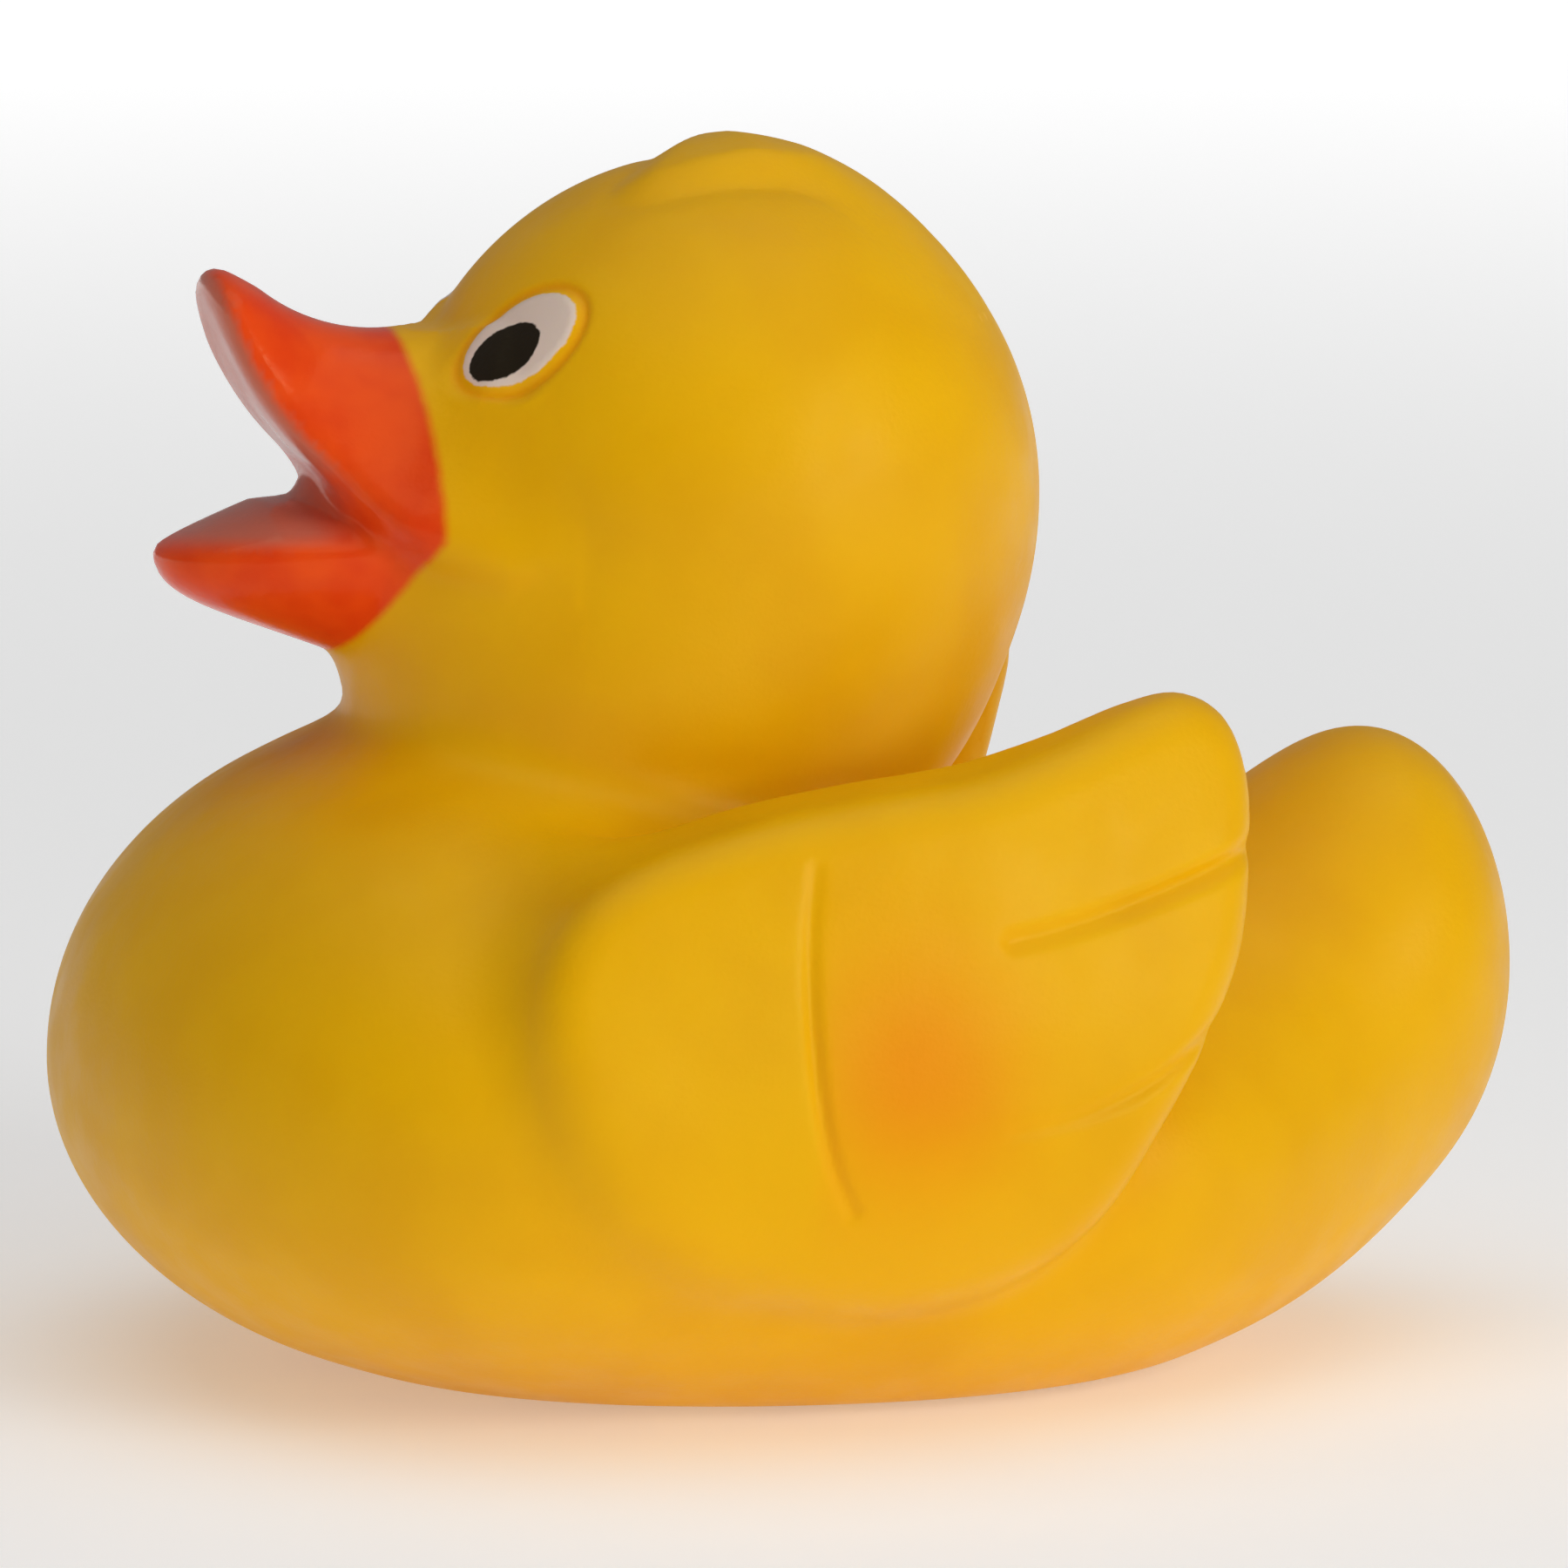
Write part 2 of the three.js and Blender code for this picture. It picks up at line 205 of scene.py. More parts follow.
@dataclass(frozen=True)
class SideLine:
    """A smooth line on the duck's side, given as (forward, up) points.

    Attributes:
        points: Corner points of the line.
        closed: Whether it is an outline.
        per_span: Pieces between two corner points.
    """

    points: tuple[Pair, ...]
    closed: bool = False
    per_span: int = 8

    def nearest(self, forward: Values, up: Values) -> tuple[Values, Values]:
        """How far the line is, and where on it the nearest point lies.

        Args:
            forward: Forward positions.
            up: Heights.

        Returns:
            Distances, negative inside an outline, and places along the line from 0 to 1.
        """
        line = arc_line(self.points, self.per_span, self.closed)
        ends = np.roll(line, -1, axis=0) if self.closed else line[1:]
        starts = line if self.closed else line[:-1]
        best = np.full(forward.shape, np.inf)
        place = np.zeros(forward.shape)
        inside = np.zeros(forward.shape, bool)
        for i, ((af, au), (bf, bu)) in enumerate(zip(starts, ends)):
            ef, eu = bf - af, bu - au
            pf, pu = forward - af, up - au
            t = np.clip((pf * ef + pu * eu) / (ef * ef + eu * eu), 0.0, 1.0)
            gap = (pf - ef * t) ** 2 + (pu - eu * t) ** 2
            nearer = gap < best
            best[nearer] = gap[nearer]
            place[nearer] = (i + t[nearer]) / len(starts)
            if self.closed and eu != 0.0:
                crosses = (au > up) != (bu > up)
                inside ^= crosses & (forward < af + (up - au) * ef / eu)
        far = np.sqrt(best)
        return np.where(inside, -far, far), place


# Parts of the duck's form.


@dataclass(frozen=True)
class Torso:
    """Breast, rump and upturned tail, run together and cut flat underneath."""

    breast: Mass = Mass((0.0, -17.5, 17.6), (31.5, 24.7, 20.2), 17.6)
    rump: Mass = Mass((0.0, 11.7, 12.8), (26.0, 21.9, 13.8), 14.6)
    tail: Mass = Mass((0.0, 34.7, 24.2), (10.0, 6.2, 10.0))
    rump_blend: float = 20.4
    tail_blend: float = 19.6
    base_round: float = 1.2

    def distance(self, p: Points) -> Values:
        """Distances to the torso, negative inside."""
        bulk = soft_join(self.breast.distance(p), self.rump.distance(p), self.rump_blend)
        bulk = soft_join(bulk, self.tail.distance(p), self.tail_blend)
        return soft_common(bulk, -p[:, 2], self.base_round)


@dataclass(frozen=True)
class Groove:
    """A feather line pressed into the wing.

    Attributes:
        line: Its course.
        width: Half-width of the pressed line.
        depth: Depth at the start, the middle and the end of the line.
    """

    line: SideLine
    width: float
    depth: Triple

    def cut(self, forward: Values, up: Values) -> Values:
        """How deep the line is pressed in at each place.

        Args:
            forward: Forward positions.
            up: Heights.

        Returns:
            Depths in millimetres.
        """
        far, place = self.line.nearest(forward, up)
        depth = np.interp(place, (0.0, 0.5, 1.0), self.depth)
        return depth * np.exp(-((far / self.width) ** 2))


@dataclass(frozen=True)
class Wing:
    """One wing: a bowed lens over its outline, its tip standing free of the body."""

    outline: SideLine = SideLine(
        (
            (21.0, 26.4), (19.6, 30.4), (16.3, 33.0), (9.6, 35.2), (2.8, 36.4), (-3.0, 37.1),
            (-8.2, 38.5), (-13.2, 40.2), (-16.4, 40.7), (-18.7, 39.4), (-19.6, 36.4),
            (-19.3, 32.4), (-18.4, 27.6), (-16.4, 23.2), (-13.3, 18.0), (-9.8, 12.4), (-5.0, 9.0),
            (1.2, 7.8), (6.9, 8.8), (12.1, 11.2), (17.0, 15.9), (20.1, 21.2),
        ),
        closed=True,
        per_span=9,
    )
    grooves: tuple[Groove, ...] = (
        Groove(
            SideLine(((6.3, 33.3), (6.8, 30.4), (7.0, 27.2), (6.9, 23.5), (6.5, 20.0), (5.8, 17.2),
                      (4.6, 14.6))),
            0.45,
            (0.12, 0.42, 0.25),
        ),
        Groove(
            SideLine(((-4.4, 29.0), (-8.0, 29.6), (-12.5, 30.7), (-17.0, 32.0), (-22.0, 33.6))),
            0.6,
            (0.35, 0.6, 0.8),
        ),
        Groove(
            SideLine(((-4.3, 18.7), (-8.0, 19.3), (-12.0, 20.7), (-15.5, 22.7), (-20.0, 25.5))),
            0.5,
            (0.1, 0.35, 0.7),
        ),
    )
    reach: float = 34.2
    crown: Pair = (2.0, 20.0)
    bow_ahead: float = 15.5
    bow_behind: float = 11.5
    bow_above: float = 8.6
    bow_below: float = 5.2
    thickness: float = 9.0
    tip_thinning: float = 4.5
    thinning_from: float = -2.0
    thinning_length: float = 16.0
    edge_round: float = 2.4
    trim: float = 0.1
    near: tuple[Triple, Triple] = ((12.0, -34.0, 0.0), (45.0, 34.0, 52.0))
    beyond: float = 8.0

    def face(self, forward: Values, up: Values) -> Values:
        """Side position of the wing's outer face.

        Args:
            forward: Forward positions.
            up: Heights.

        Returns:
            Distances from the duck's middle plane.
        """
        advance, rise = forward - self.crown[0], up - self.crown[1]
        lengthwise = advance / np.where(advance > 0.0, self.bow_ahead, self.bow_behind)
        upright = rise / np.where(rise > 0.0, self.bow_above, self.bow_below)
        return self.reach - lengthwise**2 - upright**2

    def distance(self, p: Points) -> Values:
        """Distances to both wings, negative inside."""
        mirrored = p.copy()
        mirrored[:, 0] = np.abs(p[:, 0])
        low, high = (np.array(corner) for corner in self.near)
        close = ((mirrored > low) & (mirrored < high)).all(axis=1)
        result = np.full(len(p), self.beyond)
        result[close] = self._lens(mirrored[close])
        return result

    def _lens(self, p: Points) -> Values:
        """Distances to the left wing, for points near it."""
        side, forward, up = p[:, 0], -p[:, 1], p[:, 2]
        edge, _ = self.outline.nearest(forward, up)
        thinning = np.clip((self.thinning_from - forward) / self.thinning_length, 0.0, 1.0)
        half = (self.thickness - self.tip_thinning * thinning) / 2.0
        middle = self.face(forward, up) - half
        pressed = sum(groove.cut(forward, up) for groove in self.grooves)
        plate = np.abs(side - middle) - half + pressed * (side > middle)
        return soft_common(edge - self.trim, plate, self.edge_round)


@dataclass(frozen=True)
class UpperBill:
    """The upturned upper bill: a spoon between a hollow palate and a hollow ridge."""

    palate_centre: Pair = (15.3, 66.0)
    palate_radius: float = 18.8
    ridge_centre: Pair = (23.5, 70.4)
    ridge_radius: float = 10.9
    tip_angle: float = 81.6
    corner_angle: float = 25.0
    half_width: float = 5.3
    corner_half_width: float = 10.0
    tip_length: float = 2.4
    tip_narrowing: float = 0.5
    narrowing_length: float = 7.0
    least_thickness: float = 2.2
    rim_flare: float = 0.14
    rim_depth: float = 1.8
    rim_round: float = 1.8
    root: float = 15.0
    thin_blend: float = 0.8
    slope: float = 0.8
    slope_height: float = 5.0
    saddle_between: Pair = (24.0, 22.0)
    saddle_rise: float = 6.0
    palate_skin: Pair = (0.9, 0.35)
    palate_from: Pair = (51.0, 53.0)

    def distance(self, p: Points) -> Values:
        """Distances to the upper bill, negative inside."""
        forward, up = -p[:, 1] - self.palate_centre[0], p[:, 2] - self.palate_centre[1]
        radius = np.hypot(forward, up) + 1e-9
        travel = self.palate_radius * np.arctan2(forward, -up)
        height = self.palate_radius - self._ridge(forward / radius, up / radius)
        height = -soft_join(-height, np.full(len(p), -self.least_thickness), self.thin_blend)
        rounding_from = self.palate_radius * math.radians(self.tip_angle) - self.tip_length
        corner = self.palate_radius * math.radians(self.corner_angle)
        past = np.maximum(travel - rounding_from, 0.0) / self.tip_length
        inner = self.palate_radius - radius
        flare = np.clip((rounding_from - travel) / (rounding_from - corner), 0.0, 1.0) ** 2
        width = self.half_width + (self.corner_half_width - self.half_width) * flare
        width *= 1.0 + self.rim_flare * np.exp(-np.maximum(inner, 0.0) / self.rim_depth)
        near_tip = 1.0 - (rounding_from + self.tip_length - travel) / self.narrowing_length
        width *= np.sqrt(1.0 - self.tip_narrowing * np.clip(near_tip, 0.0, 1.0) ** 2)
        rise = np.maximum(inner, 0.0) / height
        arch = np.sqrt((p[:, 0] / width) ** 2 + past**2 + rise**2) - 1.0
        arch *= self.slope * np.minimum(width, np.minimum(height, self.slope_height))
        spoon = soft_common(arch, -inner, self.rim_round)
        saddle = self.ridge_centre[1] - self.ridge_radius
        ahead = 1.0 - ease(*self.saddle_between, -p[:, 1])
        spoon = np.maximum(spoon, p[:, 2] - saddle - self.saddle_rise * ahead)
        return np.maximum(spoon, self.root + p[:, 1])

    def palate(self, p: Points) -> Values:
        """How surely each point of the skin lies on the palate, from 0 to 1."""
        radius = np.hypot(-p[:, 1] - self.palate_centre[0], p[:, 2] - self.palate_centre[1])
        off = np.abs(radius - self.palate_radius)
        return ease(*self.palate_skin, off) * ease(*self.palate_from, p[:, 2])

    def _ridge(self, forward: Values, up: Values) -> Values:
        """Distance from the palate's centre to the ridge, in a direction.

        Args:
            forward: Forward part of the unit direction.
            up: Upward part.

        Returns:
            Distances in millimetres.
        """
        off_forward = self.palate_centre[0] - self.ridge_centre[0]
        off_up = self.palate_centre[1] - self.ridge_centre[1]
        lean = off_forward * forward + off_up * up
        spare = off_forward**2 + off_up**2 - self.ridge_radius**2
        return -lean + np.sqrt(np.maximum(lean * lean - spare, 0.0))


@dataclass(frozen=True)
class LowerBill:
    """The lower bill: a scoop with a crowned top and a nearly level rim."""

    root: float = 17.0
    widest: float = 23.0
    tip: float = 36.5
    tip_round: float = 1.0
    rim_height: float = 47.7
    half_width: float = 8.4
    crown: float = 2.0
    crown_taper: float = 0.45
    rim_rise: float = 0.5
    tip_depth: float = 2.0
    tip_drop: float = 0.7
    feel: float = 1.7
    extra_depth: float = 5.7

    def distance(self, p: Points) -> Values:
        """Distances to the lower bill, negative inside."""
        forward = -p[:, 1]
        travel = np.clip((forward - self.widest) / (self.tip - self.widest), 0.0, 0.995)
        lift = self.lift(p)
        width = self.half_width * np.sqrt(1.0 - travel**2)
        depth = self.tip_depth * np.sqrt(1.0 - travel**8) + self.extra_depth * (1.0 - travel)
        rise = self.rim_rise + self.crown * np.clip((1.0 - travel) / self.crown_taper, 0.0, 1.0)
        height = np.where(lift > 0.0, rise, depth)
        shell = np.sqrt((p[:, 0] / width) ** 2 + (lift / height) ** 2) - 1.0
        shell *= np.minimum(0.7 * width, self.feel)
        shell = soft_common(shell, forward - self.tip, self.tip_round)
        return np.maximum(shell, self.root - forward)

    def lift(self, p: Points) -> Values:
        """Height of each point over the rim of the lower bill."""
        travel = np.clip((-p[:, 1] - self.widest) / (self.tip - self.widest), 0.0, 0.995)
        return p[:, 2] - self.rim_height + self.tip_drop * travel**2


@dataclass(frozen=True)
class Eye:
    """A slightly raised oval eye with a moulded ring round it, on both sides of the head.

    Attributes:
        outward: Direction from the skull's centre to the left eye.
        half_length: Half the long axis of the white.
        half_height: Half the short axis.
        slant: Degrees from level to the long axis.
        pupil_shift: How far the pupil sits down the long axis, and across it.
        pupil_size: Half-axes of the pupil.
        raised: How far the white stands out.
        ring_depth: Depth of the moulded ring.
        ring_gap: Distance of the ring from the edge of the white.
        ring_width: Half-width of the ring.
    """

    outward: Triple = (0.464, -0.708, 0.532)
    half_length: float = 3.7
    half_height: float = 2.55
    slant: float = 42.0
    pupil_shift: Pair = (-1.0, -0.3)
    pupil_size: Pair = (2.35, 1.6)
    raised: float = 0.2
    ring_depth: float = 0.16
    ring_gap: float = 0.5
    ring_width: float = 0.3

    def axes(self) -> tuple[np.ndarray, np.ndarray, np.ndarray]:
        """The eye's own directions: along it, across it and out of it."""
        out = np.array(self.outward) / np.linalg.norm(self.outward)
        level = np.cross((0.0, 0.0, 1.0), out)
        level /= np.linalg.norm(level)
        rise = np.cross(out, level)
        slant = math.radians(self.slant)
        along = level * math.cos(slant) + rise * math.sin(slant)
        return along, np.cross(out, along), out

    def edge(self, p: Points, centre: Triple, pupil: bool) -> Values:
        """How far each point is outside the white or the pupil, across the eye's face.

        Args:
            p: Points, one row each.
            centre: The skull's centre.
            pupil: Whether the pupil is meant and not the white.

        Returns:
            Distances in millimetres, negative inside the oval.
        """
        along, across, out = self.axes()
        offset = p - np.array(centre)
        offset[:, 0] = np.abs(p[:, 0]) - centre[0]
        u, v = offset @ along, offset @ across
        long_axis, short_axis = (self.half_length, self.half_height)
        if pupil:
            u, v = u - self.pupil_shift[0], v - self.pupil_shift[1]
            long_axis, short_axis = self.pupil_size
        oval = np.hypot(u / long_axis, v / short_axis) + 1e-6
        edge = np.hypot(u, v) * (oval - 1.0) / oval
        return np.where(offset @ out > 0.0, edge, edge + 30.0)

    def relief(self, p: Points, centre: Triple) -> Values:
        """How far the skin is lifted by the eye, or pressed in by its ring."""
        edge = self.edge(p, centre, pupil=False)
        ring = np.exp(-(((edge - self.ring_gap) / self.ring_width) ** 2))
        return self.raised * ease(0.35, -0.35, edge) - self.ring_depth * ring


@dataclass(frozen=True)
class Lock:
    """The moulded lock of down on the crown, swept forward to a point on the left.

    Attributes:
        outline: Its edge seen from above, as (side, forward) points.
        lift: Its height along the head, as (forward, height) points.
        edge: Half-width of its soft edge in front and at the sides.
        rear_edge: Half-width of its edge at the rear, where it fades out.
        undercut: Depth of the soft line along the edge.
        line_width: Half-width of that line.
        fade_between: Forward positions between which edge and line grow crisp.
        above: Height that the lock stays above.
    """

    outline: SideLine = SideLine(
        (
            (0.0, 7.2), (2.0, 8.5), (4.0, 10.0), (5.4, 8.9), (5.6, 5.5), (5.4, 2.6), (5.3, -0.8),
            (5.3, -4.5), (5.0, -8.5), (4.0, -12.0), (0.0, -14.0), (-4.0, -12.0), (-5.0, -8.5),
            (-5.3, -4.5), (-5.5, -0.8), (-5.6, 2.4), (-4.0, 4.6), (-2.0, 5.9),
        ),
        closed=True,
        per_span=5,
    )
    lift: tuple[Pair, ...] = (
        (-11.0, 0.0), (-8.0, 0.2), (-5.0, 0.6), (-1.0, 1.05), (3.0, 1.2), (7.0, 0.75), (10.0, 0.45),
    )
    edge: float = 1.3
    rear_edge: float = 5.5
    undercut: float = 0.06
    line_width: float = 0.7
    fade_between: Pair = (-6.0, 2.0)
    above: float = 60.0

    def relief(self, p: Points) -> Values:
        """How far the lock lifts the skin of the crown at each point."""
        high = p[:, 2] > self.above
        result = np.zeros(len(p))
        side, forward = p[high, 0], -p[high, 1]
        edge, _ = self.outline.nearest(side, forward)
        places, heights = zip(*self.lift)
        height = np.interp(forward, places, heights)
        fade = ease(*self.fade_between, forward)
        width = self.rear_edge + (self.edge - self.rear_edge) * fade
        line = self.undercut * fade * np.exp(-(((edge - self.edge) / self.line_width) ** 2))
        result[high] = height * ease(width, -width, edge) - line
        return result


def ball_points(count: int, radius: float) -> np.ndarray:
    """Points spread evenly through a ball.

    Args:
        count: How many points.
        radius: Radius of the ball.

    Returns:
        One row for each point.
    """
    turn = np.arange(count) * math.pi * (3.0 - math.sqrt(5.0))
    rise = 1.0 - 2.0 * (np.arange(count) + 0.5) / count
    out = radius * ((np.arange(count) * 0.618 % 1.0) * 0.7 + 0.3) ** (1.0 / 3.0)
    flat = np.sqrt(1.0 - rise * rise)
    return np.stack([flat * np.cos(turn), flat * np.sin(turn), rise], axis=1) * out[:, None]


@dataclass(frozen=True)
class RubbedSeam:
    """Where the bill leaves the cheek: a seam rubbed smooth, fading out between two limits.

    Attributes:
        rear: Forward positions where the rubbing fades in.
        front: Forward positions where it fades out.
        side: Distances from the middle where it fades in.
        top: Heights where it fades out.
        bottom: Heights where it fades in.
        off_eye: Distances from the eye where it fades in.
        shifts: Moves over which the form is averaged.
    """

    rear: Pair = (15.0, 17.5)
    front: Pair = (24.6, 22.4)
    side: Pair = (4.0, 6.0)
    top: Pair = (59.0, 57.0)
    bottom: Pair = (46.0, 48.5)
    off_eye: Pair = (0.7, 1.5)
    shifts: np.ndarray = field(default_factory=lambda: ball_points(18, 1.9))

    def share(self, p: Points, eye_edge: Values) -> Values:
        """How far each point is rubbed, from 0 to 1."""
        forward, up = -p[:, 1], p[:, 2]
        share = ease(*self.rear, forward) * ease(*self.front, forward)
        share *= ease(*self.side, np.abs(p[:, 0])) * ease(*self.top, up) * ease(*self.bottom, up)
        return share * ease(*self.off_eye, eye_edge)


@dataclass(frozen=True)
class Head:
    """Skull, neck, muzzle, lock, bills and eyes."""

    skull: Mass = Mass((0.0, -4.2, 49.7), (18.4, 18.3, 19.15), 21.0)
    neck: Mass = Mass((0.0, -8.4, 39.0), (16.8, 16.6, 12.0))
    muzzle: Mass = Mass((0.0, -14.8, 47.0), (11.5, 9.5, 8.5))
    lock: Lock = Lock()
    mouth: Mass = Mass((0.0, -21.5, 50.5), (7.5, 6.5, 3.6))
    upper_bill: UpperBill = UpperBill()
    lower_bill: LowerBill = LowerBill()
    eye: Eye = Eye()
    seam: RubbedSeam = field(default_factory=RubbedSeam)
    neck_blend: float = 5.0
    muzzle_blend: float = 4.0
    lower_blend: float = 2.0
    ridge_blend: float = 0.7
    cheek_blend: float = 2.2
    mouth_blend: float = 1.2
    cheek_from: Pair = (1.5, 6.5)
    root_fade: Pair = (15.5, 19.5)
    least_blend: float = 0.05
    gape_lift: Pair = (0.5, 1.4)
    gape_top: Pair = (52.5, 51.0)
    gape_front: Pair = (26.0, 29.0)

    def distance(self, p: Points) -> Values:
        """Distances to the head, negative inside."""
        form = self._crisp(p)
        share = self.seam.share(p, self.eye.edge(p, self.skull.centre, pupil=False))
        near = share > 0.0
        if near.any():
            shifts = self.seam.shifts
            soft = sum(self._crisp(p[near] + shift) for shift in shifts) / len(shifts)
            form[near] += share[near] * (soft - form[near])
        return form

    def _crisp(self, p: Points) -> Values:
        """Distances to the head before its seams are rubbed smooth."""
        form = soft_join(self.skull.distance(p), self.neck.distance(p), self.neck_blend)
        form = soft_join(form, self.muzzle.distance(p), self.muzzle_blend)
        form = form - self.eye.relief(p, self.skull.centre) - self.lock.relief(p)
        form = soft_join(form, self.lower_bill.distance(p), self.lower_blend)
        form = soft_join(form, self.mouth.distance(p), self.mouth_blend)
        cheek = ease(*self.cheek_from, np.abs(p[:, 0]))
        width = self.ridge_blend + (self.cheek_blend - self.ridge_blend) * cheek
        width *= ease(*self.root_fade, -p[:, 1])
        return soft_join(form, self.upper_bill.distance(p), np.maximum(width, self.least_blend))

    def gape_sheen(self, p: Points) -> Values:
        """How surely each point lies inside the open bill, where the paler painted sheen goes, from 0 to
        1.
        """
        scoop = ease(*self.gape_lift, self.lower_bill.lift(p)) * ease(*self.gape_top, p[:, 2])
        return np.maximum(scoop, self.upper_bill.palate(p)) * ease(*self.gape_front, -p[:, 1])


@dataclass(frozen=True)
class PaintMask:
    """The edges that the painter's masks leave on the skin.

    Attributes:
        corner: Forward position and height of the corner in the bill's paint.
        low: Slope and bend of the bill's edge under the corner.
        high: Height where the edge starts to bend above the corner, and its bend.
        floor: Height under which there is no bill.
        blush_centre: Forward position and height of the blush.
        blush_size: Its half-length and half-height.
        blush_side: How far from the middle the blush starts.
        blush_front: Forward positions between which it fades out.
    """

    corner: Pair = (22.2, 48.9)
    low: Pair = (0.58, 0.012)
    high: Pair = (52.0, 0.014)
    floor: float = 38.0
    blush_centre: Pair = (1.4, 22.4)
    blush_size: Pair = (6.0, 7.0)
    blush_side: float = 27.0
    blush_front: Pair = (7.4, 5.6)

    def bill(self, p: Points) -> Values:
        """How far each point is inside the edge of the bill's paint."""
        forward, up = -p[:, 1], p[:, 2]
        below = np.maximum(self.corner[1] - up, 0.0)
        above = np.maximum(up - self.high[0], 0.0)
        edge = self.corner[0] + self.low[0] * below + self.low[1] * below**2
        edge += self.high[1] * above**2
        return np.where(up > self.floor, forward - edge, -20.0)

    def blush(self, p: Points) -> Values:
        """How strongly each point is blushed, from 0 to 1."""
        forward, up = -p[:, 1], p[:, 2]
        away = np.hypot(
            (forward - self.blush_centre[0]) / self.blush_size[0],
            (up - self.blush_centre[1]) / self.blush_size[1],
        )
        outer = np.abs(p[:, 0]) > self.blush_side
        return np.exp(-(away**2)) * outer * ease(*self.blush_front, forward)


@dataclass(frozen=True)
class SqueakerSeat:
    """The stepped round hole in the base that the squeaker is plugged into."""

    bore: float = 6.3
    bore_depth: float = 13.0
    counterbore: float = 8.3
    counterbore_depth: float = 1.5
    edge_round: float = 0.3

    def carve(self, form: Values, p: Points) -> Values:
        """Takes the hole out of a form.

        Args:
            form: Distances to the form.
            p: Points, one row each.

        Returns:
            Distances to what is left.
        """
        radius = np.hypot(p[:, 0], p[:, 1])
        step = np.maximum(radius - self.counterbore, p[:, 2] - self.counterbore_depth)
        bore = np.maximum(radius - self.bore, p[:, 2] - self.bore_depth)
        return soft_common(form, -np.minimum(step, bore), self.edge_round)


# Meshes.


@dataclass(frozen=True)
class SkinNet:
    """Covers the surface of a form that is alike on both sides with an even net of quads.

    Attributes:
        low: Lowest corner of the space searched; its X is the duck's middle.
        high: Highest corner.
        step: Mesh width of the net.
    """

    low: Triple
    high: Triple
    step: float

    def weave(self, distance: Distance) -> tuple[np.ndarray, np.ndarray]:
        """Finds the surface.

        Args:
            distance: Gives distances to the form, negative inside.

        Returns:
            Vertices, one row each, and quads of vertex numbers facing outwards.
        """
        axes = [np.arange(lo, hi + self.step, self.step) for lo, hi in zip(self.low, self.high)]
        grid = np.stack(np.meshgrid(*axes, indexing="ij"), axis=-1)
        half = np.concatenate([distance(sheet.reshape(-1, 3)) for sheet in grid])
        half = half.reshape(grid.shape[:3])
        values = np.concatenate([half[:0:-1], half])
        axes[0] = np.concatenate([-axes[0][:0:-1], axes[0]])
        inside = values < 0.0
        count = sum(
            inside[i : i + values.shape[0] - 1, j : j + values.shape[1] - 1,
                   k : k + values.shape[2] - 1].astype(np.int8)
            for i, j, k in np.ndindex(2, 2, 2)
        )
        cells = np.argwhere((count > 0) & (count < 8))
        number = np.full(count.shape, -1, np.int64)
        number[tuple(cells.T)] = np.arange(len(cells))
        origin = np.array([axis[0] for axis in axes])
        vertices = (cells + self._crossings(values, cells)) * self.step + origin
        return vertices, self._quads(inside, number)

    def _crossings(self, values: np.ndarray, cells: np.ndarray) -> np.ndarray:
        """Mean place, in each cell from 0 to 1, where the surface crosses the cell's edges."""
        total = np.zeros((len(cells), 3))
        hits = np.zeros(len(cells))
        for axis in range(3):
            others = [k for k in range(3) if k != axis]
            for corner in np.ndindex(2, 2):
                start = np.zeros(3, int)
                start[others] = corner
                end = start.copy()
                end[axis] = 1
                a = values[tuple((cells + start).T)]
                b = values[tuple((cells + end).T)]
                crossed = (a < 0.0) != (b < 0.0)
                share = np.where(crossed, a / np.where(crossed, a - b, 1.0), 0.0)
                total[crossed] += start
                total[:, axis] += share * crossed
                hits += crossed
        return total / hits[:, None]

    def _quads(self, inside: np.ndarray, number: np.ndarray) -> np.ndarray:
        """One quad for each grid edge that the surface crosses, turned to face outwards."""
        quads = []
        for axis in range(3):
            first, second = (axis + 1) % 3, (axis + 2) % 3
            near = [slice(None)] * 3
            far = [slice(None)] * 3
            near[axis], far[axis] = slice(None, -1), slice(1, None)
            a, b = inside[tuple(near)], inside[tuple(far)]
            at = np.argwhere(a != b)
            at = at[(at[:, first] > 0) & (at[:, second] > 0)]
            leaving = a[tuple(at.T)]
            ring = []
            for back_first, back_second in ((1, 1), (0, 1), (0, 0), (1, 0)):
                cell = at.copy()
                cell[:, first] -= back_first
                cell[:, second] -= back_second
                ring.append(number[tuple(cell.T)])
            quad = np.stack(ring, axis=1)
            quads.append(np.where(leaving[:, None], quad, quad[:, ::-1]))
        return np.concatenate(quads)


def surface_normals(distance: Distance, p: Points, reach: float = 0.03) -> np.ndarray:
    """Outward directions of a form's surface.

    Args:
        distance: Gives distances to the form.
        p: Points on the surface.
        reach: How far to each side of a point the form is felt.

    Returns:
        Slopes of the distance, one row for each point, not brought to unit length.
    """
    slope = np.empty_like(p)
    for axis in range(3):
        shift = np.zeros(3)
        shift[axis] = reach
        slope[:, axis] = (distance(p + shift) - distance(p - shift)) / (2.0 * reach)
    return slope


def settle(distance: Distance, p: Points, rounds: int, limit: float = 0.4) -> Points:
    """Moves points onto the surface of a form.

    Args:
        distance: Gives distances to the form.
        p: Points near the surface.
        rounds: How many times to correct them.
        limit: Longest move in one round.

    Returns:
        The moved points.
    """
    for _ in range(rounds):
        slope = surface_normals(distance, p)
        square = np.maximum((slope * slope).sum(axis=1), 0.05)
        move = slope * (distance(p) / square)[:, None]
        length = np.maximum(np.linalg.norm(move, axis=1), 1e-12)
        p = p - move * np.minimum(1.0, limit / length)[:, None]
    return p


